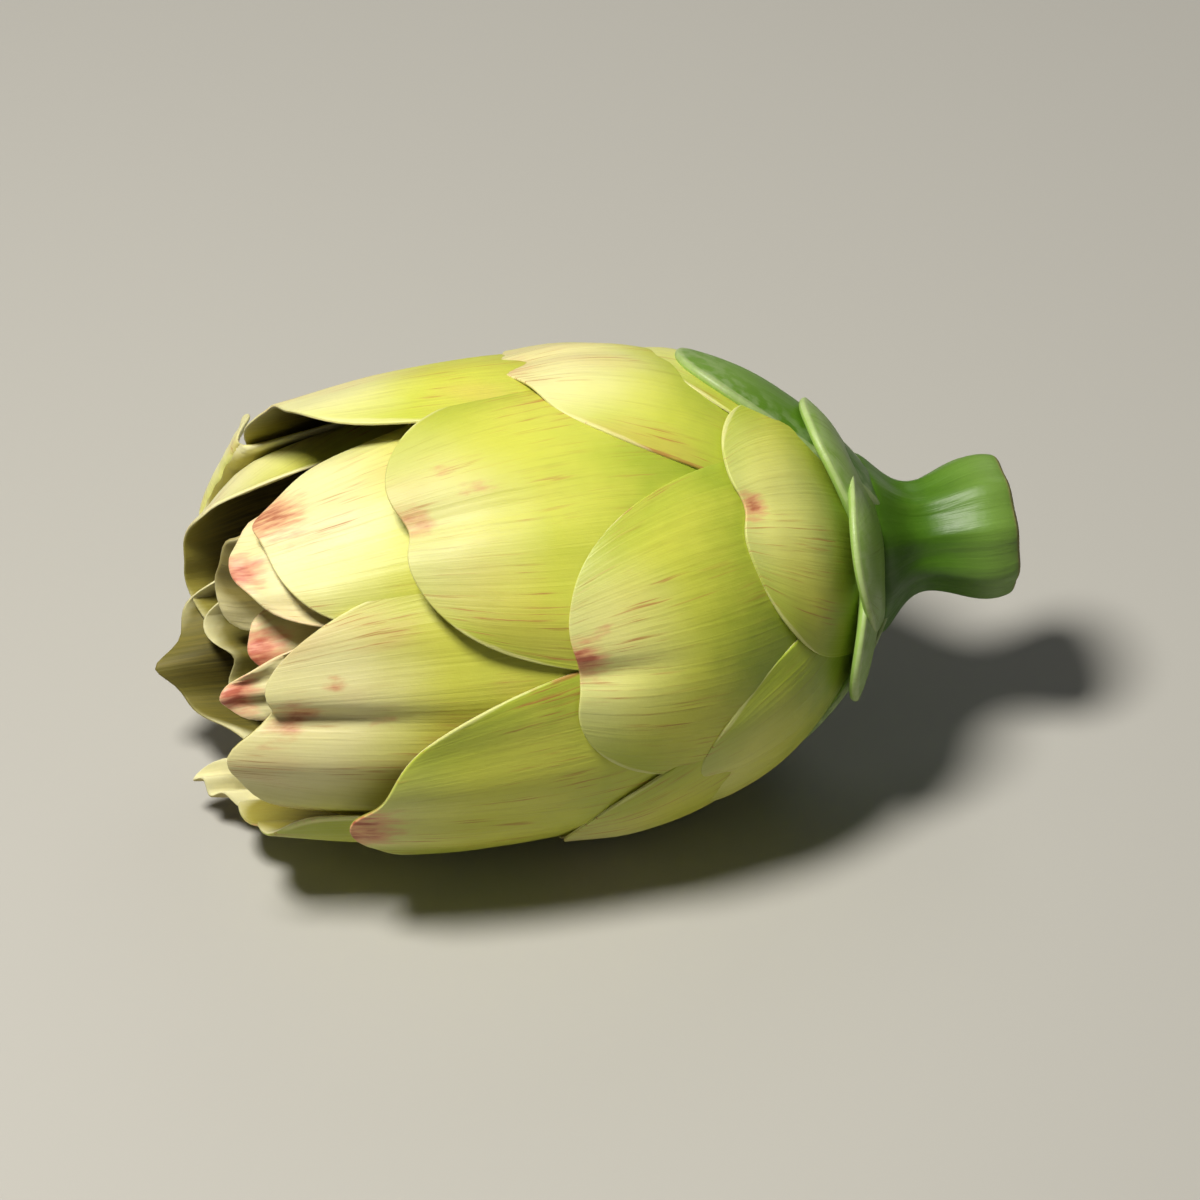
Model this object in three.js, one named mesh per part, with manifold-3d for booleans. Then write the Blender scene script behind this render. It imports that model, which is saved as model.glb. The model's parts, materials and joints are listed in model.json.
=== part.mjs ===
// A globe artichoke lying on its side: a green stem with its stem bracts, the head of overlapping
// bracts round a fleshy heart, and the small inner bracts that stand in the open crown.
// Millimetres. "Height" runs along the artichoke's own axis, from the stem joint (0) to the crown, and
// "turn" runs round that axis in degrees: 0 is on top as it lies, 90 faces -Y, 180 is underneath.
import * as THREE from "three";
import { mergeVertices } from "three/addons/utils/BufferGeometryUtils.js";
import Module from "manifold-3d";

const wasm = await Module();
wasm.setup();

// ---- Driving dimensions ----
const head = {
  radius: 42.6, // at the belly
  bellyHeight: 57,
  footHeight: -3, // where the outline would close on the axis, below the stem joint
  fullness: 2.05, // how quickly the outline swells from the foot
  crownHeight: 120,
  narrowing: 5.5, // how much the radius falls from the belly to the crown
};
const axisPlace = { x: 50.3, y: -3.41, z: 42.3 }; // the stem joint, in the part's frame, on the lying axis
const gap = 0.35; // between one node and the next

// The heart lies this far inside the head's outline, and the inner bracts stand in a well in its top.
const heart = { inset: 9, topInset: 15, top: 82, wellRadius: 17, wellDepth: 30, steps: 9, sides: 28 };

// The stem's radius at each height: the cut end, the swelling beside it, the neck, and the flare under
// the head. The plug holds it in the heart.
const stem = {
  side: [
    [-26, 11.2],
    [-24.8, 12.6],
    [-20.5, 13.2],
    [-16, 11.6],
    [-11, 9.6],
    [-7, 10],
    [-3.5, 13.2],
    [0.5, 18],
  ],
  plugRadius: 8,
  plugTop: 14,
  sides: 24,
};

// Each whorl of bracts: what the whole whorl shares, then a line for each bract, with its turn, the height
// of its tip, its full width, and whatever else differs from the usual bract below.
const whorls = {
  stemBracts: {
    shared: {
      root: -3.4, depth: -2.2, lift: 0.4, middle: 3.2, edge: 1.8, notch: 0, fullness: 0,
      crease: 0, pillow: 0.8, hook: 0,
    },
    bracts: [
      { turn: -20, tip: 32, width: 30, lean: 1.2, skew: 1 },
      { turn: 54, tip: 10, width: 30, lean: 2.2, pillow: 1.8 },
      { turn: 100, tip: 12, width: 30, lean: 1.8 },
      { turn: 160, tip: 24, width: 32, lean: 1.2 },
      { turn: 222, tip: 22, width: 34, lean: 1.2 },
      { turn: 290, tip: 18, width: 32, lean: 1.8 },
      { turn: 2, tip: 13, width: 34, lean: 2.4, pillow: 1.4 },
    ],
  },
  lowBracts: {
    shared: { root: -1.5, depth: 1, lift: 1.3 },
    bracts: [
      { turn: 37, tip: 30, width: 54, lean: 0.4, skew: -2.5, notch: 1.8, notchPlace: -0.06, crease: 0.6 },
      { turn: 117, tip: 42, width: 50, lean: 0.4, wave: 0.3, notchPlace: -0.1 },
      { turn: 184, tip: 42, width: 54 },
      { turn: 252, tip: 38, width: 54, lean: 0.4, skew: 1, notchPlace: 0.13 },
      { turn: 322, tip: 40, width: 54, lean: 0.4 },
    ],
  },
  middleBracts: {
    shared: { root: 0 },
    bracts: [
      { turn: 67, tip: 65, width: 61, lean: 0.6, notch: 4.2, notchPlace: 0.08, crease: 1.9 },
      { turn: 138, tip: 64, width: 60, notchPlace: 0.08 },
      { turn: 209, tip: 62, width: 60, skew: 1 },
      { turn: 280, tip: 64, width: 60, lean: 0.6, skew: -1, wave: 0.4, waves: 5 },
      { turn: 338, tip: 62, width: 62, lean: 0.6, wave: 0.3, waves: 4.4, notch: 0, beak: 3 },
    ],
  },
  highBracts: {
    shared: { root: 2, depth: 5.8 },
    bracts: [
      {
        turn: 28, tip: 91, width: 65, skew: -2, wave: 0.3, waves: 4.5, notch: 2.6, notchPlace: 0,
        crease: 0.9,
      },
      { turn: 110, tip: 100, width: 62, skew: 1, wave: 0.4, notch: 0, beak: 4, crease: 0.5 },
      { turn: 184, tip: 96, width: 62, lean: -1, wave: 0.3, notchPlace: -0.1 },
      { turn: 252, tip: 98, width: 62, wave: 0.6, waves: 4.5 },
      {
        turn: 315, tip: 103, width: 66, lean: 0.4, skew: -4.8, fullness: 0.2, wave: 0.5, notch: 0,
        crease: 0.4,
      },
    ],
  },
  crownBracts: {
    shared: { root: 6, depth: 8, lift: 0.8 },
    bracts: [
      {
        turn: 20, tip: 114, width: 54, lean: -9, skew: -2, wave: 0.4, notch: 0, beak: 2.5,
        beakPlace: -0.3, fullness: 0.04, crease: 0.5,
      },
      {
        turn: 82, tip: 122, width: 62, lean: -8, skew: 10, wave: 0.5, waves: 5, notch: 4,
        notchPlace: -0.06, beak: 3, beakPlace: 0.14,
      },
      { turn: 152, tip: 121, width: 54, lean: -2, wave: 1.4 },
      {
        turn: 223, tip: 122, width: 58, lean: -4.3, skew: -1.2, fullness: 0.1, wave: 1.8, waves: 3.3,
        notch: 0, beak: 6.3, beakWidth: 0.12,
      },
      {
        turn: 278, tip: 138, width: 30, lean: 15, leanFrom: 0.82, fallBack: 40, skew: -7,
        fullness: -0.05, wave: 0.2, notch: 0,
      },
    ],
  },
  rimBracts: {
    shared: { root: 30, depth: 10, lift: 0, pillow: 0.4 },
    bracts: [
      { turn: 223, tip: 118, width: 46, lean: -11.5, skew: 5, wave: 1.6 },
      {
        turn: 254, tip: 118.5, width: 53, lean: -2.1, skew: -5.7, fullness: -0.12, wave: 1,
        waves: 3.3, notch: 0,
      },
      { turn: 330, tip: 86, width: 36, lean: -8, wave: 1 },
      { turn: 183, tip: 124, width: 19, lean: -1.6, wave: 0.8, notch: 0, beak: 5, beakPlace: 0.4 },
    ],
  },
  innerBracts: {
    shared: {
      root: 62, depth: 22, lift: 0, leanFrom: -0.4, middle: 1.6, notch: 0, beak: 4,
      beakWidth: 0.3, crease: 0, wave: 0.5, pillow: 0.6, hook: 0, across: 4, along: 5,
    },
    bracts: [
      { turn: 20, tip: 119, width: 30, lean: -12, beak: 1.5, pillow: 1.2 },
      { turn: 70, tip: 121, width: 22, lean: -14 },
      { turn: 118, tip: 113, width: 26, lean: -17 },
      { turn: 168, tip: 110, width: 24, lean: -16 },
      { turn: 218, tip: 105, width: 26, lean: -15 },
      { turn: 268, tip: 110, width: 24, lean: -16 },
      { turn: 285, tip: 118, width: 38, lean: -19.5, skew: -5, fullness: 0.14, beak: 0 },
    ],
  },
  budBracts: {
    shared: {
      root: 64, depth: 28, lift: 0, leanFrom: -0.4, middle: 1.6, notch: 0, beak: 3,
      beakWidth: 0.3, crease: 0, wave: 0.3, pillow: 0.6, hook: 0, across: 4, along: 4,
    },
    bracts: [
      { turn: 42, tip: 117, width: 20, lean: -21 },
      { turn: 186, tip: 108, width: 17, lean: -27 },
      { turn: 330, tip: 109, width: 18, lean: -26 },
      { turn: 114, tip: 107, width: 17, lean: -27 },
      { turn: 258, tip: 104, width: 17, lean: -27 },
    ],
  },
};
const usual = {
  lean: 0, // how far the tip leans out (or in, below 0)
  leanFrom: 0.5, // how far up the bract it starts to
  fallBack: 0, // how far a leaning tip falls back toward the stem
  skew: 0, // how much further the side of the greater turn reaches
  lift: 1.6, // how far the tip stands off the head's form
  depth: 3.4, // and how deep the root lies in it
  middle: 2.2, // thickness
  edge: 0.8,
  fill: 3, // added thickness at the root
  fullness: 0.085, // how much squarer than a circle the corners are
  crowding: 1.35, // over 1, the bract's length is used up more slowly near its root
  notch: 3, // the cleft in the tip: its depth, and its place and width as shares of the half width
  notchPlace: 0,
  notchWidth: 0.16,
  beak: 0, // the point at the tip, likewise
  beakPlace: 0.05,
  beakWidth: 0.18,
  crease: 1.2, // depth and width of the crease that runs back from the notch
  creaseWidth: 0.14,
  pillow: 1.7, // how far the middle swells
  hook: 0.6, // how far the very tip bends in
  wave: 0, // height of the waves across the bract, and how many half turns of them there are
  waves: 4,
  across: 8, // facets
  along: 8,
};
const layerStep = 0.45; // how much deeper each next bract of a whorl is set

// ---- Shapes ----
const clamp01 = (x) => Math.min(1, Math.max(0, x));
const smooth = (from, to, x) => {
  const t = clamp01((x - from) / (to - from));
  return t * t * (3 - 2 * t);
};
const hump = (x, width) => Math.exp(-((x / width) ** 2));

// A number from 0 to 1 that depends only on the seed.
const chance = (seed) => {
  const s = Math.sin(seed * 12.9898 + 4.1) * 43758.5453;
  return s - Math.floor(s);
};

// The head's radius at a height along its axis.
function outline(height) {
  if (height > head.bellyHeight) {
    const up = (height - head.bellyHeight) / (head.crownHeight - head.bellyHeight);
    return head.radius - head.narrowing * up * up;
  }
  const down = (head.bellyHeight - height) / (head.bellyHeight - head.footHeight);
  return head.radius * Math.sqrt(Math.max(0.01, 1 - down ** head.fullness));
}

// A point given by its height, its distance from the axis and its turn, in the part's frame.
function placed(height, out, sideways, turn) {
  const up = out * Math.cos(turn) - sideways * Math.sin(turn);
  const front = out * Math.sin(turn) + sideways * Math.cos(turn);
  return new THREE.Vector3(axisPlace.x - height, axisPlace.y - front, axisPlace.z + up);
}

// A square's point moved onto a disc whose corners are a little fuller than a circle's.
function roundedSquare(x, y, fullness) {
  const a = x * Math.sqrt(1 - (y * y) / 2);
  const b = y * Math.sqrt(1 - (x * x) / 2);
  const swell = 1 + (fullness * 4 * a * a * b * b) / (a * a + b * b + 1e-9);
  return [a * swell, b * swell];
}

// A point of a bract. x and y run over its face from -1 to 1, and side is 1 outside, -1 inside.
function bractPoint(bract, x, y, side) {
  const [u, w] = roundedSquare(x, y, bract.fullness);
  const v = Math.max(0, (w + 1) / 2);
  const body = Math.sqrt((1 - x * x) * (1 - y * y));
  const fold = u - bract.notchPlace;

  // Down the middle of the bract, from its root to its tip.
  const length = bract.tip - bract.root + 2 * bract.grow;
  const notch = bract.notch * hump(fold, bract.notchWidth);
  const beak = bract.beak * hump(u - bract.beakPlace, bract.beakWidth);
  const atTip = (beak - notch) * smooth(0.8, 1, v) + bract.skew * u * smooth(0.4, 1, v);
  const bending = smooth(bract.leanFrom, 1.05, v);
  const height = bract.root - bract.grow + length * v ** bract.crowding + atTip - bract.fallBack * bending;
  const radius = outline(height);
  const slope = outline(height + 0.5) - outline(height - 0.5);
  const steep = Math.hypot(1, slope);

  // How far the face stands off the head's outline.
  const stand = bract.lean * bending + bract.lift * v ** 3 - bract.depth * Math.max(0, 1 - v) ** 1.5;
  const crease = -bract.crease * hump(fold, bract.creaseWidth) * smooth(0.45, 0.95, v);
  const waves = Math.sin(bract.waves * Math.PI * u + bract.phase) * bract.wave * smooth(0.45, 1, v);
  const swell = bract.pillow * body * smooth(0.3, 0.75, v) - bract.hook * smooth(0.85, 1, v);
  const thick = bract.edge + (bract.middle - bract.edge) * body + bract.fill * smooth(0.85, 0.5, v);
  const off = crease + waves + swell - (side < 0 ? thick : 0) + side * bract.grow;

  const bend = Math.max(8, radius + stand);
  const angle = (u * (bract.width / 2 + bract.grow)) / bend;
  const out = radius + stand / steep - bend + (bend + off / steep) * Math.cos(angle);
  const sideways = (bend + off / steep) * Math.sin(angle);
  return placed(height - ((stand + off) * slope) / steep, out, sideways, bract.turn);
}

// Bracts of a whorl, as plain values. grow thickens and widens them all round.
function bractsOf(name, grow = 0) {
  const { shared, bracts } = whorls[name];
  return bracts.map((own, i) => {
    const bract = { ...usual, ...shared, ...own, grow };
    bract.depth += layerStep * ((i * 2) % 5);
    bract.phase = 6 * chance(own.turn + 400);
    bract.turn = THREE.MathUtils.degToRad(own.turn);
    return bract;
  });
}

// A closed blade: a flat box whose faces are bent to the bract's outside and inside.
function bractGeometry(bract) {
  const box = new THREE.BoxGeometry(2, 2, 2, bract.across, bract.along, 1);
  const at = box.getAttribute("position");
  for (let i = 0; i < at.count; i++) {
    const p = bractPoint(bract, -at.getX(i), at.getY(i), at.getZ(i));
    at.setXYZ(i, p.x, p.y, p.z);
  }
  return box;
}

// A round body about the artichoke's axis from a profile of [distance from the axis, height].
function roundGeometry(profile, sides) {
  const lathe = new THREE.LatheGeometry(profile.map(([r, h]) => new THREE.Vector2(r, h)), sides);
  const at = lathe.getAttribute("position");
  for (let i = 0; i < at.count; i++) {
    const out = Math.hypot(at.getX(i), at.getZ(i));
    const p = placed(at.getY(i), out, 0, Math.atan2(at.getX(i), at.getZ(i)));
    at.setXYZ(i, p.x, p.y, p.z);
  }
  return lathe;
}

// ---- Joining and cutting ----
function solidOf(geometry) {
  const bare = geometry.clone();
  bare.deleteAttribute("normal");
  bare.deleteAttribute("uv");
  const merged = mergeVertices(bare, 1e-4);
  const vertProperties = new Float32Array(merged.attributes.position.array);
  const triVerts = new Uint32Array(merged.index.array);
  const solid = new wasm.Manifold(new wasm.Mesh({ numProp: 3, vertProperties, triVerts }));
  if (solid.volume() > 0) return solid;
  for (let i = 0; i < triVerts.length; i += 3) {
    [triVerts[i + 1], triVerts[i + 2]] = [triVerts[i + 2], triVerts[i + 1]];
  }
  return new wasm.Manifold(new wasm.Mesh({ numProp: 3, vertProperties, triVerts }));
}

const join = (solids) => solids.reduce((whole, next) => whole.add(next));
const bractSolids = (name, grow) => bractsOf(name, grow).map((b) => solidOf(bractGeometry(b)));

// The largest closed body of a solid: loose scraps are dropped, and sealed hollows are filled.
const mainBody = (solid) => solid.decompose().sort((a, b) => b.volume() - a.volume())[0];

function meshOf(name, solid, look) {
  const made = solid.getMesh();
  const geometry = new THREE.BufferGeometry();
  geometry.setAttribute("position", new THREE.BufferAttribute(made.vertProperties, 3));
  geometry.setIndex(new THREE.BufferAttribute(made.triVerts, 1));
  geometry.computeVertexNormals();
  const mesh = new THREE.Mesh(geometry, new THREE.MeshStandardMaterial(look));
  mesh.name = name;
  return mesh;
}

// Everything below the surface that the artichoke rests on.
function ground() {
  const size = 400;
  return solidOf(new THREE.BoxGeometry(size, size, size).translate(0, 0, -size / 2));
}

// ---- The pieces ----
// The heart: an egg inside the bracts, open at the crown, where the inner bracts stand in a well.
function heartSolid() {
  const { inset, topInset, top, wellRadius, wellDepth, steps } = heart;
  const from = head.footHeight + inset;
  const side = Array.from({ length: steps + 1 }, (_, i) => {
    const height = from + ((top - from) * i) / steps;
    const within = inset + (topInset - inset) * smooth(head.bellyHeight, top, height);
    return [outline(height) - within, height];
  });
  const well = [
    [wellRadius + gap, top],
    [wellRadius + gap, top - wellDepth],
    [0, top - wellDepth],
  ];
  return solidOf(roundGeometry([[0, from], ...side, ...well], heart.sides));
}

function stemCore(grow = 0) {
  const { side, plugRadius, plugTop, sides } = stem;
  const profile = [
    [0, side[0][0] - grow],
    ...side.map(([height, radius], i) => [radius + grow, height - (i === 0 ? grow : 0)]),
    [plugRadius + grow, 2 + grow],
    [plugRadius + grow, plugTop + grow],
    [0, plugTop + grow],
  ];
  return solidOf(roundGeometry(profile, sides));
}

// The base of the bud, standing in the heart's well and rounded at its top.
function innerCore(grow = 0) {
  const { top, wellRadius, wellDepth, sides } = heart;
  const foot = top - wellDepth + gap - grow;
  const profile = [
    [0, foot],
    [wellRadius - 1 + grow, foot],
    [wellRadius + grow, top - 12],
    [wellRadius - 3 + grow, top],
    [wellRadius - 10 + grow, top + 6 + grow],
    [0, top + 8 + grow],
  ];
  return solidOf(roundGeometry(profile, sides));
}

const stemNode = (grow) => join([stemCore(grow), ...bractSolids("stemBracts", grow)]);
const innerNode = (grow) =>
  join([innerCore(grow), ...bractSolids("innerBracts", grow), ...bractSolids("budBracts", grow)]);
const headNode = () => {
  const names = ["lowBracts", "middleBracts", "highBracts", "crownBracts", "rimBracts"];
  return join([heartSolid(), ...names.flatMap((name) => bractSolids(name))]);
};

const looks = {
  stem: { color: 0x5f8f30, roughness: 0.45, metalness: 0 },
  head: { color: 0xc5cf6a, roughness: 0.55, metalness: 0 },
  innerBracts: { color: 0xd8a27c, roughness: 0.6, metalness: 0 },
};

const floor = ground();
const artichoke = new THREE.Group();
const stemSolid = mainBody(stemNode(0).subtract(floor));
const innerSolid = mainBody(innerNode(0));
const others = [stemNode(gap), innerNode(gap), stemSolid, innerSolid, floor];
const headSolid = mainBody(others.reduce((whole, next) => whole.subtract(next), headNode()));
artichoke.add(meshOf("stem", stemSolid, looks.stem));
artichoke.add(meshOf("head", headSolid, looks.head));
artichoke.add(meshOf("inner_bracts", innerSolid, looks.innerBracts));

export default artichoke;
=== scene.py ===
import json
import math
import bpy
import numpy as np
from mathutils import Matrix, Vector

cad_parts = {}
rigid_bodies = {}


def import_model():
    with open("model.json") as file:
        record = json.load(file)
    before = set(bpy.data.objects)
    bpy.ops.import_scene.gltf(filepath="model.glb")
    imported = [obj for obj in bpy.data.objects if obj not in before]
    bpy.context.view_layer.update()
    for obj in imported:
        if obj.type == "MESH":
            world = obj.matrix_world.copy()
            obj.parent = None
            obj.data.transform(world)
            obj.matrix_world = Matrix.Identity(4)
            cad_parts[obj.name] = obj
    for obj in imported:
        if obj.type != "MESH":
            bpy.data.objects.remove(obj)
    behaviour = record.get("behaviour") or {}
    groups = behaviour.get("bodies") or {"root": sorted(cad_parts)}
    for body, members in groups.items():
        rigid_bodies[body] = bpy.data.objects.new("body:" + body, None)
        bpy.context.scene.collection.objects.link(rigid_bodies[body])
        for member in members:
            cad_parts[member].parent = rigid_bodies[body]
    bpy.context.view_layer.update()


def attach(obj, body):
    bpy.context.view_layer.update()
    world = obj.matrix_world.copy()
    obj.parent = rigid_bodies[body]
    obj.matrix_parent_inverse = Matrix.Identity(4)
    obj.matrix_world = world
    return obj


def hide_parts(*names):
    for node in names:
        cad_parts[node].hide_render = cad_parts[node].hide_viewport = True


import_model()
mm = 0.001

# The head's form, in millimetres along the artichoke's own axis: height 0 is the stem joint.
head = dict(
    radius=42.6,
    bellyHeight=57,
    footHeight=-3,
    fullness=2.05,
    crownHeight=120,
    narrowing=5.5,
    joint=(50.3, -3.41, 42.3),  # the stem joint in the part's frame
)
wholeTurn = 6.283


def smooth(start, stop, x):
    t = np.clip((x - start) / (stop - start), 0, 1)
    return t * t * (3 - 2 * t)


def hump(x, width):
    return np.exp(-((x / width) ** 2))


def chance(seed):
    # a number from 0 to 1 that depends only on the seed
    s = math.sin(seed * 12.9898 + 4.1) * 43758.5453
    return s - math.floor(s)


def ripple(x, y, seed, count=4):
    # smooth unevenness between about -1 and 1: a few crossing waves
    total = np.zeros_like(x)
    for i in range(count):
        way = wholeTurn * chance(seed + i * 3.1)
        often = 0.6 + 1.3 * chance(seed + i * 5.3)
        start = wholeTurn * chance(seed + i * 7.7)
        total += np.sin(often * (x * math.cos(way) + y * math.sin(way)) + start)
    return total / count * 1.4


def outline(height):
    # the head's radius at a height: a round foot, and a crown that narrows a little
    up = (height - head["bellyHeight"]) / (head["crownHeight"] - head["bellyHeight"])
    down = (head["bellyHeight"] - height) / (head["bellyHeight"] - head["footHeight"])
    below = head["radius"] * np.sqrt(np.maximum(0.01, 1 - np.maximum(0, down) ** head["fullness"]))
    return np.where(height > head["bellyHeight"], head["radius"] - head["narrowing"] * up * up, below)


def placed(height, out, sideways, turn):
    # from height, distance from the axis and turn to the part's frame, in metres
    jointX, jointY, jointZ = head["joint"]
    up = out * math.cos(turn) - sideways * math.sin(turn)
    front = out * math.sin(turn) + sideways * math.cos(turn)
    return np.stack([jointX - height, jointY - front, jointZ + up], 1) * mm


rest = dict(reach=4.0, sink=1.2)  # mm: how high the lowest bracts are pressed, and by how much


def pressedFlat(points):
    # the lowest bracts give way under the weight, down to a flat spot on the surface
    z = points[:, 2] / mm
    low = (z + rest["sink"]) * rest["reach"] / (rest["reach"] + rest["sink"])
    points[:, 2] = np.where(z < rest["reach"], np.maximum(low, 0), z) * mm
    return points


def clearSelection():
    for thing in bpy.context.view_layer.objects:
        thing.select_set(False)


def hexColour(text):
    # a web colour as the linear values that a shader takes
    parts = [int(text[i:i + 2], 16) / 255 for i in (0, 2, 4)]
    linear = [p / 12.92 if p <= 0.04045 else ((p + 0.055) / 1.055) ** 2.4 for p in parts]
    return (*linear, 1)


def outward(azimuth, elevation):
    a, e = math.radians(azimuth), math.radians(elevation)
    return Vector((math.sin(a) * math.cos(e), -math.cos(a) * math.cos(e), math.sin(e)))


# degrees, metres, and millimetres for the lens
view = dict(azimuth=-14, elevation=40, distance=1.8, lens=300, lookAt=(0.001, -0.003, 0.0386))


def makeCamera():
    back = outward(view["azimuth"], view["elevation"])
    bpy.ops.object.camera_add(location=Vector(view["lookAt"]) + back * view["distance"])
    camera = bpy.context.object
    camera.rotation_euler = back.to_track_quat("Z", "Y").to_euler()
    camera.data.lens = view["lens"]
    bpy.context.scene.camera = camera


# place is azimuth and elevation in degrees, distance and size are in metres
lamps = dict(
    key=dict(place=(-68, 68), distance=0.9, size=0.26, power=11.4, colour=(1.0, 0.97, 0.91)),
    fill=dict(place=(-30, 30), distance=1.2, size=0.8, power=0.07, colour=(0.97, 0.98, 1.0)),
    back=dict(place=(150, 40), distance=1.0, size=0.5, power=0.8, colour=(1.0, 0.99, 0.96)),
)
lampCentre = Vector((0, 0, 0.04))  # the middle of the artichoke, which the lamps stand round
sky = dict(colour=(0.95, 0.97, 1.0, 1), strength=0.065)


def makeLights():
    for name, lamp in lamps.items():
        away = outward(*lamp["place"])
        bpy.ops.object.light_add(type="AREA", location=away * lamp["distance"] + lampCentre)
        light = bpy.context.object
        light.name = name + "Light"
        light.rotation_euler = away.to_track_quat("Z", "Y").to_euler()
        light.data.shape = "DISK"
        light.data.size = lamp["size"]
        light.data.energy = lamp["power"]
        light.data.color = lamp["colour"]
    world = bpy.data.worlds.new("studio")
    bpy.context.scene.world = world
    world.use_nodes = True
    background = world.node_tree.nodes["Background"]
    background.inputs["Color"].default_value = sky["colour"]
    background.inputs["Strength"].default_value = sky["strength"]


class Wire:
    # one output of a node; arithmetic on it adds Math nodes
    def __init__(self, shader, socket):
        self.shader = shader
        self.socket = socket

    def __add__(self, other):
        return self.shader.maths("ADD", self, other)

    def __radd__(self, other):
        return self.shader.maths("ADD", other, self)

    def __sub__(self, other):
        return self.shader.maths("SUBTRACT", self, other)

    def __rsub__(self, other):
        return self.shader.maths("SUBTRACT", other, self)

    def __mul__(self, other):
        return self.shader.maths("MULTIPLY", self, other)

    def __rmul__(self, other):
        return self.shader.maths("MULTIPLY", other, self)


class Shader:
    # a new material with its Principled node
    def __init__(self, name):
        self.material = bpy.data.materials.new(name)
        self.material.use_nodes = True
        self.tree = self.material.node_tree
        self.surface = self.tree.nodes["Principled BSDF"]

    def node(self, kind, settings=None, inputs=None, output=0):
        made = self.tree.nodes.new("ShaderNode" + kind)
        for key, value in (settings or {}).items():
            setattr(made, key, value)
        for key, value in (inputs or {}).items():
            self.feed(made.inputs[key], value)
        return Wire(self, made.outputs[output])

    def feed(self, socket, value):
        if isinstance(value, Wire):
            self.tree.links.new(value.socket, socket)
        else:
            socket.default_value = value

    def maths(self, operation, a, b):
        return self.node("Math", dict(operation=operation), {0: a, 1: b})

    def step(self, value, start, stop):
        # smooth change from 0 to 1 as value goes from start to stop
        settings = dict(interpolation_type="SMOOTHSTEP")
        return self.node("MapRange", settings, {"Value": value, "From Min": start, "From Max": stop})

    def mix(self, share, a, b):
        settings = dict(data_type="RGBA", blend_type="MIX", clamp_factor=True)
        return self.node("Mix", settings, {0: share, 6: a, 7: b}, output=2)

    def parts(self, name):
        # the three numbers of a vector attribute
        vector = self.node("Attribute", dict(attribute_name=name), output="Vector")
        return [self.node("SeparateXYZ", None, {0: vector}, output=i) for i in range(3)]

    def vector(self, x, y, z):
        return self.node("CombineXYZ", None, {0: x, 1: y, 2: z})

    def noise(self, vector, scale, detail=2.0, roughness=0.5):
        inputs = dict(Vector=vector, Scale=scale, Detail=detail, Roughness=roughness)
        return self.node("TexNoise", None, inputs, output="Fac")

    def place(self):
        return self.node("TexCoord", output="Object")

    def finish(self, values):
        for key, value in values.items():
            self.feed(self.surface.inputs[key], value)
        return self.material

    def bump(self, height, distance):
        return self.node("Bump", None, dict(Height=height, Distance=distance), output="Normal")


# Colours of the bracts, from their hidden root to their tip, and of their marks. An amount is how far
# the mark's colour covers what lies under it.
headSkin = dict(
    # the root green is darker partly as painted shade where each bract comes out from under the next
    root=hexColour("7b991c"),
    middle=hexColour("c8cb4c"),
    tip=hexColour("eae4b0"),
    margin=hexColour("e6e2a4"),
    # the olive of dry skin, also laid on as painted shade
    dryAndShadeTint=hexColour("8d7a3e"),
    # the inner face's colours: a dark painted shade, and painted light near its margin
    inside=hexColour("342e12"),
    insideLitRim=hexColour("a39a42"),
    line=hexColour("8a7a2c"),
    dash=hexColour("a9683a"),
    blush=hexColour("d08467"),
    blushCore=hexColour("96422f"),
    bloom=hexColour("c9d2ae"),
    lineAmount=0.26,
    stainAmount=0.3,
    dashAmount=0.72,
    blushAmount=0.8,
    bloomAmount=0.0,
    dryAndShadeAmount=0.85,
    marginAmount=0.45,
    insideLineAmount=0.3,
    # the inner face's pale margin line, partly its own pale edge and partly a painted highlight
    insideMarginHighlightAmount=0.85,
    roughness=0.45,
    shine=0.35,
    bumpDepth=0.0003,
    softness=0.10,
)
innerSkin = dict(
    headSkin,
    root=hexColour("a8a657"),
    middle=hexColour("d2cf8c"),
    tip=hexColour("e0d7a2"),
    margin=hexColour("e0bb92"),
    # the inner face's colours: a dark painted shade, and painted light near its margin
    inside=hexColour("6f6430"),
    insideLitRim=hexColour("c2b676"),
    blush=hexColour("dc8870"),
    blushCore=hexColour("b0503e"),
    roughness=0.5,
)
stemSkin = dict(
    headSkin,
    root=hexColour("467010"),
    middle=hexColour("5f8a1c"),
    tip=hexColour("98b85c"),
    margin=hexColour("b6c48a"),
    # the inner face's colours: a dark painted shade, and painted light near its margin
    inside=hexColour("5d7a2c"),
    insideLitRim=hexColour("6d8a3c"),
    line=hexColour("5d7d2a"),
    dash=hexColour("6c7a34"),
    blush=hexColour("9fb06a"),
    blushCore=hexColour("8f9a5a"),
    bloomAmount=0.18,
    roughness=0.42,
    shine=0.36,
    bumpDepth=0.0002,
)
stalkSkin = dict(stemSkin, root=hexColour("3b5f10"), middle=hexColour("4f7818"), shine=0.3)

# Widths are in millimetres from the tip or the margin. Sizes are cells a metre, and for what is drawn out
# lengthwise cells a millimetre across and along the bract.
pattern = dict(
    paleWidth=23.0,
    # width of the green band by the margin, partly painted shade
    greenAndShadeWidth=9.0,
    bloomWidth=9.0,
    # widths of the painted light and of the partly painted highlight by the inner face's margin
    litWidth=8.0,
    insideMarginHighlightWidth=2.4,
    marginWidth=0.5,
    patchSize=38.0,
    mottleSize=260.0,
    bloomSize=420.0,
    poreSize=900.0,
    lineSize=(1.3, 0.06),
    stainSize=(0.08, 0.05),
    dashSize=(1.7, 0.08),
    fraySize=(0.8, 0.3),
    ribSize=(1.1, 0.02),
)


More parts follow.
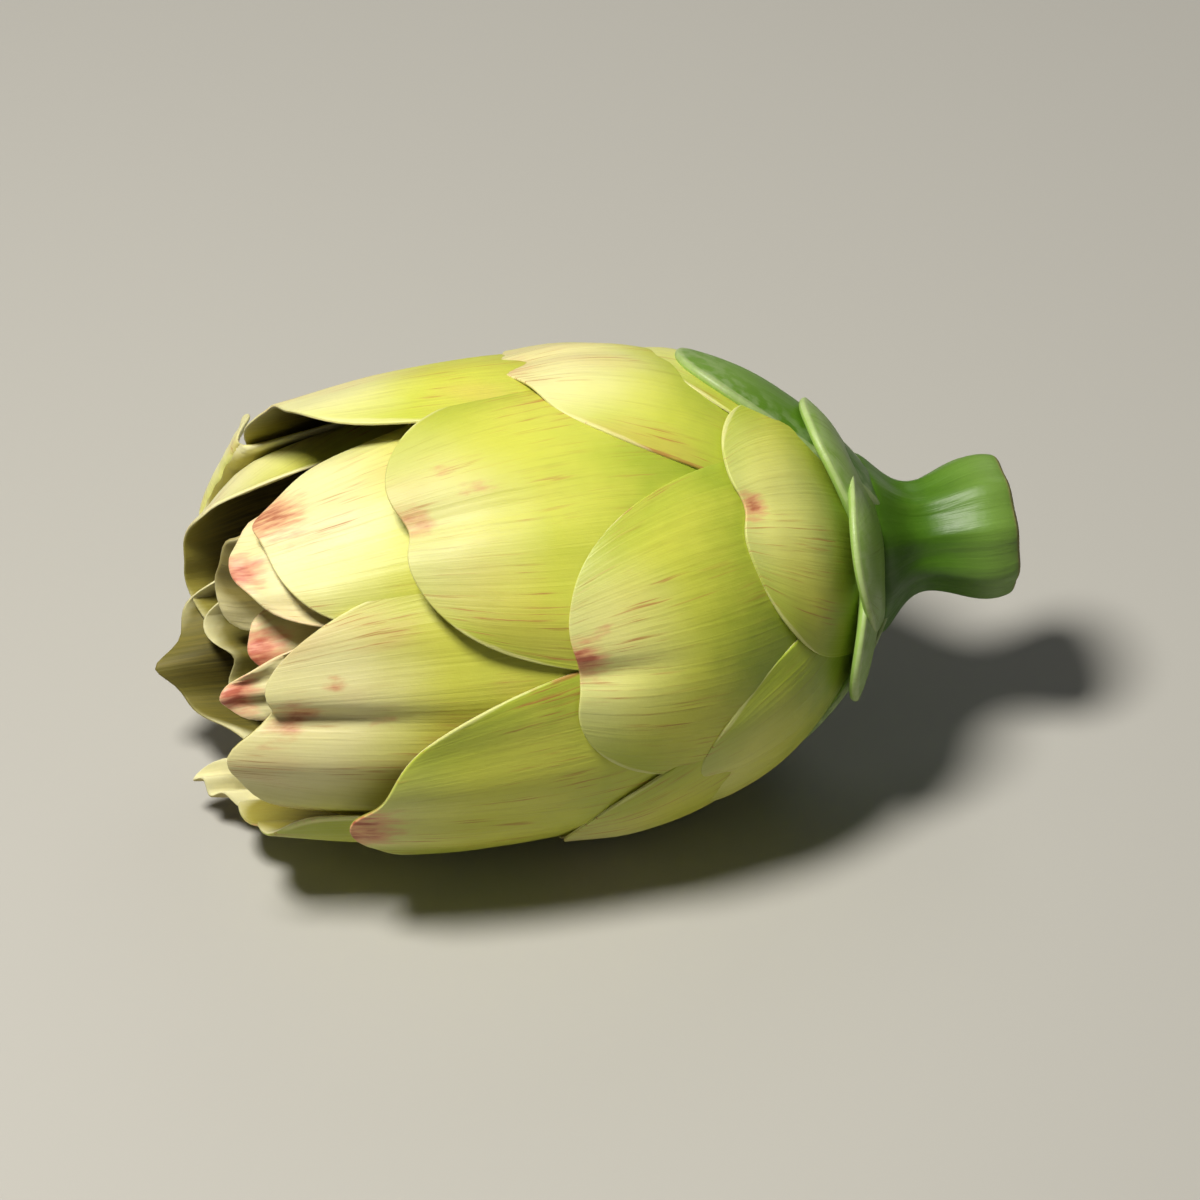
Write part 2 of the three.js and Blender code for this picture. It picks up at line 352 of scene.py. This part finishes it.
def bractMaterial(name, skin):
    s = Shader(name)
    _, along, fromMargin = s.parts("face")
    grainAcross, grainAlong, seed = s.parts("grain")
    ripeness, pinkness, drynessAndShade = s.parts("tone")
    blushAway, outside, tipAway = s.parts("spot")
    place = s.place()

    def streaks(across, size, shift, detail=2.0, roughness=0.5):
        # unevenness that is drawn out along the bract
        drawn = s.vector(across * size[0], grainAlong * size[1], seed + shift)
        return s.noise(drawn, 1.0, detail, roughness)

    # the ground colour, from dark green roots to a pale tip, uneven as plant skin is; the darker green
    # where each bract comes out from under the next is partly the skin's own green and partly painted shade
    uneven = s.noise(place, pattern["patchSize"], detail=3.0) - 0.5
    mottle = s.noise(place, pattern["mottleSize"]) - 0.5
    rise = along + uneven * 0.5 + mottle * 0.1
    base = s.mix(s.step(rise, 0.3, 0.82), skin["root"], skin["middle"])
    # greener towards the margins, partly the skin's own green and partly painted shade
    greenEdgeAndShade = s.step(fromMargin + mottle * 3.0, pattern["greenAndShadeWidth"], 0.5) * 0.5 * (1 - ripeness)
    base = s.mix(greenEdgeAndShade, base, skin["root"])
    pale = s.step(tipAway + uneven * 16.0 - ripeness * 14.0, pattern["paleWidth"], 1.0)
    base = s.mix(pale * (ripeness * 0.7 + 0.28), base, skin["tip"])

    # fine lines that run lengthwise, pink stains, and short red-brown dashes
    bent = grainAcross + uneven * 2.0
    lines = streaks(bent, pattern["lineSize"], 0.0, detail=3.0, roughness=0.65)
    base = s.mix(s.step(lines, 0.5, 0.8) * skin["lineAmount"], base, skin["line"])
    stains = streaks(grainAcross, pattern["stainSize"], 3.0)
    stained = s.step(stains, 0.45, 0.75) * ripeness * s.step(along, 0.45, 0.75)
    base = s.mix(stained * skin["stainAmount"], base, skin["blush"])
    dashes = streaks(bent, pattern["dashSize"], 7.0, detail=2.5, roughness=0.6)
    dashed = s.step(dashes, 0.56, 0.7) * s.step(stains, 0.42, 0.6)
    base = s.mix(dashed * skin["dashAmount"] * s.step(along, 0.4, 0.65), base, skin["dash"])

    # blush round the notch, with a dark point in it
    frayed = streaks(grainAcross, pattern["fraySize"], 11.0, detail=3.0) - 0.5
    away = blushAway + frayed * 1.3
    base = s.mix(s.step(away, 1.0, 0.25) * pinkness * skin["blushAmount"], base, skin["blush"])
    base = s.mix(s.step(away, 0.45, 0.05) * pinkness * skin["blushAmount"], base, skin["blushCore"])

    # a waxy bloom by the margin, broken into specks
    specks = s.step(s.noise(place, pattern["bloomSize"], detail=3.0), 0.4, 0.62)
    waxy = specks * s.step(fromMargin + uneven * 10.0, pattern["bloomWidth"], 1.0)
    base = s.mix(waxy * skin["bloomAmount"], base, skin["bloom"])

    # dry olive skin on the old bracts, which is partly their own dry colour and partly painted shade, and
    # the pale thin margin
    driedAndShaded = drynessAndShade * s.step(along + uneven * 0.6, 0.5, 0.95)
    base = s.mix(driedAndShaded * skin["dryAndShadeAmount"], base, skin["dryAndShadeTint"])
    thin = s.step(fromMargin + mottle * 0.5, pattern["marginWidth"], 0.1)
    base = s.mix(thin * skin["marginAmount"], base, skin["margin"])

    # the plainer inner face: a dark painted shade away from its margin, darker still on dry bracts, with
    # painted light near the margin and a pale margin line that is partly its own pale edge and partly a
    # painted highlight
    lit = s.step(fromMargin + uneven * 3.0, pattern["litWidth"], 0.5) * (1 - drynessAndShade * 0.75)
    inner = s.mix(lit, skin["inside"], skin["insideLitRim"])
    inner = s.mix(s.step(lines, 0.4, 0.7) * skin["insideLineAmount"], inner, skin["line"])
    thin = s.step(fromMargin + mottle * 0.8, pattern["insideMarginHighlightWidth"], 0.6)
    inner = s.mix(thin * skin["insideMarginHighlightAmount"], inner, skin["tip"])
    base = s.mix(outside, inner, base)

    ribs = streaks(grainAcross, pattern["ribSize"], 5.0)
    pores = s.noise(place, pattern["poreSize"])
    height = ribs * 0.4 + lines * 0.15 + pores * 0.12
    return s.finish({
        "Base Color": base,
        "Roughness": skin["roughness"] + uneven * 0.25 + drynessAndShade * 0.2 + dashed * 0.1,
        "Normal": s.bump(height, skin["bumpDepth"]),
        "Subsurface Weight": skin["softness"],
        "Subsurface Radius": (1.0, 0.9, 0.3),
        "Subsurface Scale": 0.003,
        "Specular IOR Level": skin["shine"],
    })


# A flat slab of squares that every bract is bent from: squares across, along and round its rim.
blankSize = dict(large=(36, 44, 4), small=(20, 28, 4))


def makeBlank(name, squares):
    clearSelection()
    bpy.ops.mesh.primitive_cube_add(size=2)
    blank = bpy.context.object
    blank.name = name
    for axis, count in enumerate(squares):
        mesh = blank.data
        for part in (mesh.vertices, mesh.polygons, mesh.edges):
            part.foreach_set("select", np.zeros(len(part), bool))
        for edge in mesh.edges:
            a, b = (mesh.vertices[i].co for i in edge.vertices)
            edge.select = abs(a[axis] - b[axis]) > 1  # an edge of the cube that is still whole
        bpy.ops.object.mode_set(mode="EDIT")
        bpy.ops.mesh.select_mode(type="EDGE")
        bpy.ops.mesh.subdivide(number_cuts=count - 1)
        bpy.ops.object.mode_set(mode="OBJECT")
    return blank


# What every bract has unless its whorl or its own line says otherwise. Lengths are in millimetres, and
# places across a bract run from -1 to 1.
usual = dict(
    lean=0.0,  # how far the tip leans out of the head's form, and from what share of the length
    leanFrom=0.5,
    fallBack=0.0,  # how far a leaning tip falls back to the stem
    skew=0.0,  # how much further the side of the greater turn reaches
    middle=2.2,  # thickness in the middle and at the margin
    edge=0.75,
    lift=1.6,  # how far the tip stands off, and how deep the root lies
    depth=3.4,
    fullness=0.085,  # how square the outline is
    crowding=1.35,  # how much further the tip half is drawn out than the root half
    notch=3.0,  # the cleft at the tip: depth, place and width across the bract
    notchPlace=0.0,
    notchWidth=0.14,
    beak=0.0,  # the point at the tip, likewise
    beakPlace=0.05,
    beakWidth=0.16,
    crease=1.2,  # the furrow that runs back from the notch: depth, width and where it starts
    creaseWidth=0.1,
    creaseFrom=0.45,
    curl=0.0,  # how far the margins roll out, and how much they ruffle
    curlWidth=0.35,
    ruffle=0.0,
    tuck=0.0,  # how far the margin of the greater turn folds in, and over what width
    tuckWidth=4.0,
    pillow=2.3,  # how far the middle swells
    hook=0.6,  # how far the very tip bends in
    wave=0.0,  # waves across the tip half: height and number
    waves=4.0,
    wrinkle=0.0,
    ragged=0.014,  # unevenness of the outline and of the surface
    uneven=0.35,
    blushSize=5.5,  # the pink spot: how wide, how far in from the tip, and how far to one side
    blushDepth=1.5,
    blushAside=0.0,
    marks=[],  # smaller blushes: place across, how far from the tip, size
    pink=0.7,  # how pink the blushes are, how dry the skin is (dryness also paints shade on the crown's bracts), and how pale and streaked
    dryAndShade=0.0,
    ripe=0.3,
    node="head",
    slot="head",
    blank="large",
)
layerStep = 0.45  # how much deeper each next bract of a whorl lies, in the order 1, 4, 2, 5, 3
leastBend = 8  # mm: the tightest that a bract bends round the axis
markShape = dict(narrowness=2, faintness=0.25)

whorls = dict(
    stemBract=dict(
        shared=dict(root=-3.4, depth=-2.2, lift=0.4, middle=3.2, edge=1.8, notch=0, fullness=0, crease=0,
                    pillow=0.8, hook=0, ragged=0.01, pink=0, ripe=0.0, node="stem", slot="stem"),
        bracts=[
            dict(turn=-20, tip=32, width=30, lean=2.4, skew=1),
            dict(turn=54, tip=11, width=34, lean=4.4, pillow=1.8, ripe=0.6),
            dict(turn=100, tip=12, width=32, lean=3.6, ripe=0.5),
            dict(turn=160, tip=24, width=32, lean=1.2),
            dict(turn=222, tip=22, width=34, lean=1.2),
            dict(turn=290, tip=18, width=32, lean=1.8),
            dict(turn=2, tip=13, width=34, lean=3.2, pillow=1.4, ripe=0.6),
        ],
    ),
    lowBract=dict(
        shared=dict(root=-1.5, depth=1.0, lift=1.3, pillow=1.9, ripe=0.25),
        bracts=[
            dict(turn=37, tip=30, width=54, lean=0.4, skew=-2.5, notch=1.8, notchPlace=-0.06, crease=0.6,
                 ripe=0.08, pink=0.9, blushSize=4.0),
            dict(turn=117, tip=42, width=50, lean=0.4, wave=0.3, notchPlace=-0.1, ripe=0.0, pink=0.3),
            dict(turn=184, tip=42, width=54),
            dict(turn=252, tip=38, width=54, lean=0.4, skew=1, notchPlace=0.13),
            dict(turn=322, tip=40, width=54, lean=0.4),
        ],
    ),
    middleBract=dict(
        shared=dict(root=0, ripe=0.2),
        bracts=[
            dict(turn=67, tip=65, width=61, lean=0.6, notch=2.2, notchPlace=0.08, notchWidth=0.2,
                 crease=2.0, creaseWidth=0.08, creaseFrom=0.68, pillow=2.5, pink=1.0, blushAside=-0.1,
                 ripe=0.22, marks=[(-0.2, 6.5, 4.2)]),
            dict(turn=138, tip=64, width=60, lean=1.0, notchPlace=0.08),
            dict(turn=209, tip=62, width=60, skew=1),
            dict(turn=280, tip=64, width=60, lean=0.6, skew=-1, wave=0.4, waves=5.0),
            dict(turn=338, tip=62, width=62, lean=0.6, wave=0.3, waves=4.4, notch=0, beak=3, pink=0.4,
                 ripe=0.6),
        ],
    ),
    highBract=dict(
        shared=dict(root=2, depth=5.8, ripe=0.4),
        bracts=[
            dict(turn=28, tip=91, width=65, skew=-2, wave=0.3, waves=4.5, notch=2.6, crease=1.3,
                 creaseFrom=0.65, pink=0.8, dryAndShade=0.15, ripe=0.35, blushSize=4.5, blushAside=-0.05,
                 marks=[(-0.15, 16.0, 6.0), (-0.3, 11.0, 4.0)]),
            dict(turn=110, tip=100, width=62, skew=1, wave=0.4, notch=0, beak=4, crease=0.5, pink=1.0,
                 blushSize=8.0, ripe=0.12),
            dict(turn=184, tip=96, width=62, lean=-1, wave=0.3, notchPlace=-0.1),
            dict(turn=245, tip=98, width=54, depth=6.3, lean=-0.9, wave=0.2, waves=4.5),
            dict(turn=315, tip=103, width=66, depth=4.4, lean=0.4, skew=-4.8, fullness=0.2, wave=0.3,
                 notch=0, crease=0.4, pink=0.3, ripe=0.65),
        ],
    ),
    crownBract=dict(
        shared=dict(root=6, depth=8, lift=0.8, ripe=0.75, dryAndShade=0.1, wrinkle=0.3),
        bracts=[
            dict(turn=20, tip=114, width=54, lean=-9, skew=-2, wave=0.4, notch=0, beak=2.5, beakPlace=-0.3,
                 fullness=0.04, pink=1.0, blushSize=8.0, blushDepth=5.0, crease=0.5),
            dict(turn=82, tip=122, width=62, lean=-8, skew=10, wave=0.5, waves=5.0, notch=4,
                 notchPlace=-0.06, beak=3, beakPlace=0.14, crease=2.4, creaseWidth=0.07, creaseFrom=0.7,
                 pink=1.0, blushDepth=6.0, dryAndShade=0.32, marks=[(-0.3, 13.0, 5.0), (-0.05, 24.0, 5.0)]),
            dict(turn=152, tip=120, width=54, lean=-4, wave=0.9, ripe=0.0),
            dict(turn=223, tip=122, width=58, lean=-4.3, skew=-1.2, fullness=0.1, wave=1.8, waves=3.3,
                 notch=0, beak=6.3, beakWidth=0.12, ruffle=3.2, wrinkle=1.1, dryAndShade=0.8, pink=0),
            dict(turn=278, tip=138, width=30, lean=15, leanFrom=0.82, fallBack=40, skew=-7, fullness=-0.05,
                 wave=0.2, notch=0, dryAndShade=0.0, pink=0),
        ],
    ),
    rimBract=dict(
        shared=dict(root=30, depth=10, lift=0, ripe=0.6, dryAndShade=0.8, wrinkle=0.9, pillow=0.4, pink=0.2),
        bracts=[
            dict(turn=223, tip=118, width=46, lean=-11.5, skew=5, wave=1.6, ruffle=2.0),
            dict(turn=257.5, tip=119, width=67, lean=-1.6, skew=3.6, wave=1.0, waves=3.3, notch=0,
                 tuck=7.0, tuckWidth=5.5, ruffle=0.6, ripe=1.0, dryAndShade=0.1),
            dict(turn=330, tip=80, width=36, lean=-8, wave=1.0),
            dict(turn=183, tip=122, width=20, lean=-1.6, wave=0.8, notch=0, beak=3, beakPlace=0.4,
                 beakWidth=0.3),
        ],
    ),
    innerBract=dict(
        shared=dict(root=62, depth=22, lift=0, leanFrom=-0.4, middle=1.6, notch=0, beak=4, beakWidth=0.3,
                    crease=0, wave=0.5, curl=1.0, pink=1.0, ripe=0.8, pillow=0.6, hook=0,
                    node="inner_bracts", slot="inner_bracts", blank="small"),
        bracts=[
            dict(turn=20, tip=119, width=30, lean=-12, beak=1.5, pillow=1.2),
            dict(turn=73, tip=122, width=17.5, lean=-15.6, skew=1.9, beak=3.9, beakWidth=0.46),
            dict(turn=118, tip=113, width=26, lean=-17),
            dict(turn=168, tip=110, width=24, lean=-16),
            dict(turn=218, tip=105, width=26, lean=-15),
            dict(turn=268, tip=110, width=24, lean=-16),
            dict(turn=285, tip=118, width=38, lean=-19.5, skew=-5, fullness=0.14, beak=0, pink=0,
                 dryAndShade=0.9),
        ],
    ),
    budBract=dict(
        shared=dict(root=64, depth=28, lift=0, leanFrom=-0.4, middle=1.6, notch=0, beak=3, beakWidth=0.3,
                    crease=0, wave=0.3, curl=0.6, pink=1.0, ripe=0.8, pillow=0.6, hook=0,
                    node="inner_bracts", slot="inner_bracts", blank="small"),
        bracts=[
            dict(turn=54, tip=118.5, width=19, lean=-19.4, skew=-1.3, fullness=0.15, beak=2.3,
                 blushSize=7.0),
            dict(turn=186, tip=108, width=17, lean=-27),
            dict(turn=330, tip=109, width=18, lean=-26),
            dict(turn=114, tip=107, width=17, lean=-27),
            dict(turn=258, tip=104, width=17, lean=-27),
        ],
    ),
)


def bractsOf(name):
    whorl = whorls[name]
    for i, own in enumerate(whorl["bracts"]):
        bract = {**usual, **whorl["shared"], **own}
        bract["depth"] += layerStep * ((i * 2) % 5)
        bract["phase"] = 6 * chance(own["turn"] + 400)  # no two bracts wave or fray alike
        bract["seed"] = own["turn"] + 10 * own["tip"]
        bract["turn"] = math.radians(own["turn"])
        bract["halfWidth"] = bract["width"] / 2
        bract["length"] = bract["tip"] - bract["root"]
        yield name + "." + str(i + 1), bract


def roundedSquare(x, y, fullness):
    # a square's points moved onto a disc whose corners are a little fuller than a circle's
    a = x * np.sqrt(1 - y * y / 2)
    c = y * np.sqrt(1 - x * x / 2)
    swell = 1 + fullness * 4 * a * a * c * c / (a * a + c * c + 1e-9)
    return a * swell, c * swell


def spreadOut(b, x, y, z):
    # the slab's points over the bract's outline, with its rim rounded between the two faces
    u, w = roundedSquare(x, y, b["fullness"])
    rim = (np.maximum(np.abs(x), np.abs(y)) > 0.999) * (b["edge"] / 2 * np.sqrt(1 - z * z))
    wobble = 1 + b["ragged"] * ripple(4 * x, 4 * y, b["seed"])
    return u * (wobble + rim / b["halfWidth"]), w * (wobble + rim / b["length"])


def reachOf(b, u, v):
    # how far above the root each point lies, with the notch and the beak at the tip
    notch = b["notch"] * hump(u - b["notchPlace"], b["notchWidth"]) * smooth(0.8, 1, v)
    beak = b["beak"] * hump(u - b["beakPlace"], b["beakWidth"]) * smooth(0.8, 1, v)
    return b["length"] * v ** b["crowding"] - notch + beak + b["skew"] * u * smooth(0.4, 1, v)


def reliefOf(b, u, v, body, fromMargin):
    # how far the bract's furrow, waves, swelling and margins lift each point
    crease = -b["crease"] * hump(u - b["notchPlace"], b["creaseWidth"]) * smooth(b["creaseFrom"], 0.97, v)
    waves = np.sin(b["waves"] * math.pi * u + b["phase"]) * b["wave"] * smooth(0.45, 1, v)
    wrinkles = b["wrinkle"] * ripple(9 * u, 3 * v, b["seed"] + 50) * smooth(0.6, 1, v)
    uneven = b["uneven"] * ripple(4 * u, 5 * v, b["seed"] + 90) * body
    swell = b["pillow"] * body * body * smooth(0.3, 0.75, v) + uneven
    ruffle = b["ruffle"] * ripple(8 * u, 5 * v, b["seed"] + 20)
    roll = (b["curl"] + ruffle) * smooth(b["curlWidth"], 0, body) * smooth(0.5, 0.8, v)
    tucked = b["tuck"] * smooth(b["tuckWidth"], 0, fromMargin) * smooth(0.1, 0.5, u) * smooth(0.35, 0.6, v)
    return crease + waves + wrinkles + swell + (roll - tucked) - b["hook"] * smooth(0.85, 1, v)


def skinFields(b, x, y, z, u, v, fromMargin):
    # the numbers that the bract's skin is coloured by
    spotPlace = (b["notchPlace"] if b["notch"] else b["beakPlace"]) + b["blushAside"]
    fromTip = (1 - v) * b["length"] * b["crowding"]
    spotAway = np.hypot((u - spotPlace) * b["halfWidth"], fromTip - b["blushDepth"])
    blush = spotAway / b["blushSize"]
    for place, depth, size in b["marks"]:
        markAway = np.hypot((u - place) * b["halfWidth"] * markShape["narrowness"], fromTip - depth)
        blush = np.minimum(blush, markAway / size + markShape["faintness"])
    return dict(
        face=(u, v, fromMargin),
        grain=(x * b["halfWidth"], y * b["length"] / 2, np.full_like(x, chance(b["seed"]) * 50)),
        tone=tuple(np.full_like(x, b[key]) for key in ("ripe", "pink", "dryAndShade")),
        spot=(blush, (z > 0) * 1.0, spotAway),
    )


def bentBract(b, x, y, z):
    # where the slab's points go round the head: u across, v from the root to the tip
    u, w = spreadOut(b, x, y, z)
    v = np.maximum((w + 1) / 2, 0)
    body = np.sqrt((1 - x * x) * (1 - y * y))
    fromMargin = (1 - np.hypot(u, w) / (1 + b["fullness"])) * b["halfWidth"]

    bending = smooth(b["leanFrom"], 1.05, v)
    height = b["root"] + reachOf(b, u, v) - b["fallBack"] * bending
    radius = outline(height)
    slope = outline(height + 0.5) - outline(height - 0.5)
    steep = np.hypot(1, slope)
    stand = b["lean"] * bending + b["lift"] * v ** 3 - b["depth"] * np.maximum(0, 1 - v) ** 1.5
    thick = b["edge"] + (b["middle"] - b["edge"]) * body
    off = reliefOf(b, u, v, body, fromMargin) - thick * (1 - z) / 2

    bend = np.maximum(leastBend, radius + stand)
    angle = u * b["halfWidth"] / bend
    out = radius + stand / steep - bend + (bend + off / steep) * np.cos(angle)
    sideways = (bend + off / steep) * np.sin(angle)
    points = placed(height - (stand + off) * slope / steep, out, sideways, b["turn"])
    return pressedFlat(points), skinFields(b, x, y, z, u, v, fromMargin)


def meshPoints(mesh):
    flat = np.zeros(len(mesh.vertices) * 3)
    mesh.vertices.foreach_get("co", flat)
    return flat.reshape(-1, 3)


def addField(mesh, name, columns):
    field = mesh.attributes.new(name, "FLOAT_VECTOR", "POINT")
    field.data.foreach_set("vector", np.stack(columns, 1).astype(np.float32).ravel())


def shadeSmooth(mesh):
    for face in mesh.polygons:
        face.use_smooth = True


def wear(piece, material, node, slot):
    piece.data.materials.clear()
    piece.data.materials.append(material)
    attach(piece, "root")
    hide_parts(node)


def makeBract(name, bract, blanks, skins):
    mesh = blanks[bract["blank"]].data.copy()
    mesh.name = name
    piece = bpy.data.objects.new(name, mesh)
    bpy.context.scene.collection.objects.link(piece)
    x, y, z = meshPoints(mesh).T
    points, fields = bentBract(bract, -x, y, z)  # minus x, or the slab would be inside out
    mesh.vertices.foreach_set("co", points.ravel())
    for key, columns in fields.items():
        addField(mesh, key, columns)
    shadeSmooth(mesh)
    wear(piece, skins[bract["slot"]], bract["node"], bract["slot"])


def turnedPiece(name, rings, sides):
    # a round body about the artichoke's axis, from rings of height and radius in mm
    jointX, jointY, jointZ = head["joint"]
    clearSelection()
    first = ((jointX - rings[0][0]) * mm, jointY * mm, jointZ * mm)
    bpy.ops.mesh.primitive_circle_add(
        vertices=sides, radius=rings[0][1] * mm, fill_type="NGON",
        location=first, rotation=(0, math.pi / 2, 0))
    piece = bpy.context.object
    piece.name = name
    bpy.ops.object.transform_apply(location=True, rotation=True, scale=True)
    bpy.ops.object.mode_set(mode="EDIT")
    bpy.ops.mesh.select_mode(type="FACE")
    bpy.ops.mesh.select_all(action="SELECT")
    for (height, radius), (nextHeight, nextRadius) in zip(rings, rings[1:]):
        move = ((height - nextHeight) * mm, 0, 0)
        bpy.ops.mesh.extrude_region_move(TRANSFORM_OT_translate=dict(value=move))
        centre = ((jointX - nextHeight) * mm, jointY * mm, jointZ * mm)
        grow = nextRadius / radius
        bpy.ops.transform.resize(value=(1, grow, grow), center_override=centre)
    bpy.ops.mesh.select_all(action="SELECT")
    bpy.ops.mesh.normals_make_consistent(inside=False)
    bpy.ops.object.mode_set(mode="OBJECT")
    return piece


def smoothed(piece, levels):
    modifier = piece.modifiers.new("Round", "SUBSURF")
    modifier.levels = levels
    modifier.render_levels = levels
    clearSelection()
    piece.select_set(True)
    bpy.context.view_layer.objects.active = piece
    bpy.ops.object.modifier_apply(modifier=modifier.name)
    shadeSmooth(piece.data)
    return piece


# Rings are pairs of height and radius in millimetres, from the cut end to the top.
stem = dict(
    rings=[(-24.6, 1.5), (-25.2, 5), (-25.9, 9.5), (-26, 11.4), (-25.4, 12.4), (-24.2, 12.9), (-20.5, 13.2),
           (-16, 11.6), (-11, 9.6), (-7, 10), (-3.5, 13.2), (0.5, 18), (2.5, 15), (3, 6), (3.1, 1.5)],
    sides=32,
    ribs=9,
    ribDepth=0.35,
    ribTwist=0.05,
    lumpDepth=0.5,
    lumpLength=8,
    cutFrom=-24.9,
    cutTo=-25.3,
)


def makeStem():
    piece = smoothed(turnedPiece("stem_stalk", stem["rings"], stem["sides"]), 2)
    points = meshPoints(piece.data) / mm
    jointX, jointY, jointZ = head["joint"]
    height = jointX - points[:, 0]
    y, z = points[:, 1] - jointY, points[:, 2] - jointZ
    turn = np.arctan2(-y, z)
    radius = np.hypot(y, z)
    ribs = stem["ribDepth"] * np.sin(stem["ribs"] * turn + stem["ribTwist"] * height)
    swell = ribs + stem["lumpDepth"] * ripple(2 * np.cos(turn), height / stem["lumpLength"], 3)
    swollen = radius + swell * smooth(4, 9, radius) * smooth(2, -1, height)
    radius = np.where(radius > 4, swollen, radius)
    cut = smooth(stem["cutFrom"], stem["cutTo"], height)
    points[:, 1] = jointY - radius * np.sin(turn)
    points[:, 2] = jointZ + radius * np.cos(turn)
    piece.data.vertices.foreach_set("co", (points * mm).ravel())
    addField(piece.data, "stalk", (radius, turn, height))
    addField(piece.data, "end", (cut, cut, cut))
    return piece


cutFace = dict(
    pith=hexColour("c9cf9a"),
    flesh=hexColour("8fa45c"),
    speck=hexColour("8d8450"),
    rind=hexColour("6d5a33"),
)


def stemMaterial(name, skin):
    s = Shader(name)
    radius, turn, height = s.parts("stalk")
    cut, _, _ = s.parts("end")
    place = s.place()

    # the green side, paler towards the cut and streaked with fibres
    uneven = s.noise(place, 55.0, detail=3.0) - 0.5
    base = s.mix(s.step(uneven, -0.25, 0.3), skin["root"], skin["middle"])
    base = s.mix(s.step(height, -10.0, -24.0) * 0.35, base, skin["tip"])
    fibres = s.noise(s.vector(turn * 9.0, height * 0.06, 0.0), 1.0, detail=3.0)
    base = s.mix(s.step(fibres, 0.5, 0.75) * 0.3, base, skin["line"])

    # the cut end: pith in the middle, green flesh round it and a brown rind
    pith = s.noise(place, 700.0)
    face = s.mix(s.step(radius + uneven * 2.0, 8.5, 10.5), cutFace["pith"], cutFace["flesh"])
    face = s.mix(s.step(pith, 0.45, 0.7) * 0.5, face, cutFace["speck"])
    face = s.mix(s.step(radius, 10.4, 11.6) * 0.6, face, cutFace["rind"])
    base = s.mix(cut, base, face)

    height = fibres * 0.5 + s.noise(place, 500.0, detail=3.0) * 0.15 + pith * cut * 0.6
    return s.finish({
        "Base Color": base,
        "Roughness": skin["roughness"] + uneven * 0.2 + cut * 0.3,
        "Normal": s.bump(height, 0.0004),
        "Subsurface Weight": 0.12,
        "Subsurface Radius": (0.8, 1.0, 0.3),
        "Subsurface Scale": 0.003,
        "Specular IOR Level": skin["shine"],
        "Coat Weight": 0.03,
        "Coat Roughness": 0.3,
    })


heart = dict(
    rings=[(3, 2), (4, 14), (10, 22), (20, 28), (35, 32), (52, 33), (66, 30), (76, 25), (82, 20),
           (83, 12), (83, 2)],
    sides=32,
    flesh=hexColour("6d8430"),
    spots=hexColour("4f6420"),
)
bud = dict(
    rings=[(60, 2), (60, 12), (70, 15.5), (80, 14), (86, 10), (89.5, 5), (90, 1)],
    sides=24,
    flesh=hexColour("b3ab66"),
    spots=hexColour("b07a62"),
)


def fleshMaterial(name, core):
    s = Shader(name)
    spots = s.noise(s.place(), 120.0, detail=4.0)
    return s.finish({
        "Base Color": s.mix(s.step(spots, 0.4, 0.65), core["flesh"], core["spots"]),
        "Roughness": 0.55 + spots * 0.15,
        "Normal": s.bump(spots, 0.0005),
    })


def makeCore(name, core):
    return smoothed(turnedPiece(name, core["rings"], core["sides"]), 1)


floor = dict(size=6.0, colour=hexColour("b4b2ab"), shade=hexColour("adaba4"))


def makeFloor():
    clearSelection()
    bpy.ops.mesh.primitive_plane_add(size=floor["size"], location=(0, 0, 0))
    piece = bpy.context.object
    piece.name = "floor"
    s = Shader("paleFloor")
    drift = s.noise(s.place(), 2.0, detail=2.0)
    piece.data.materials.append(s.finish({
        "Base Color": s.mix(drift, floor["colour"], floor["shade"]),
        "Roughness": 0.7,
    }))


bpy.context.scene.view_settings.view_transform = "Standard"
makeCamera()
makeLights()
makeFloor()
print("camera, lights and floor are in place")

skins = dict(
    head=bractMaterial("headBractSkin", headSkin),
    stem=bractMaterial("stemBractSkin", stemSkin),
    inner_bracts=bractMaterial("innerBractSkin", innerSkin),
)
blanks = {key: makeBlank(key + "Blank", squares) for key, squares in blankSize.items()}
for name in whorls:
    for label, bract in bractsOf(name):
        makeBract(label, bract, blanks, skins)
    print(name, "done")
for blank in blanks.values():
    bpy.data.objects.remove(blank)

wear(makeStem(), stemMaterial("stalkSkin", stalkSkin), "stem", "stem")
wear(makeCore("heart", heart), fleshMaterial("heartFlesh", heart), "head", "head")
wear(makeCore("bud_base", bud), fleshMaterial("budFlesh", bud), "inner_bracts", "inner_bracts")
print("stem, heart and bud done")
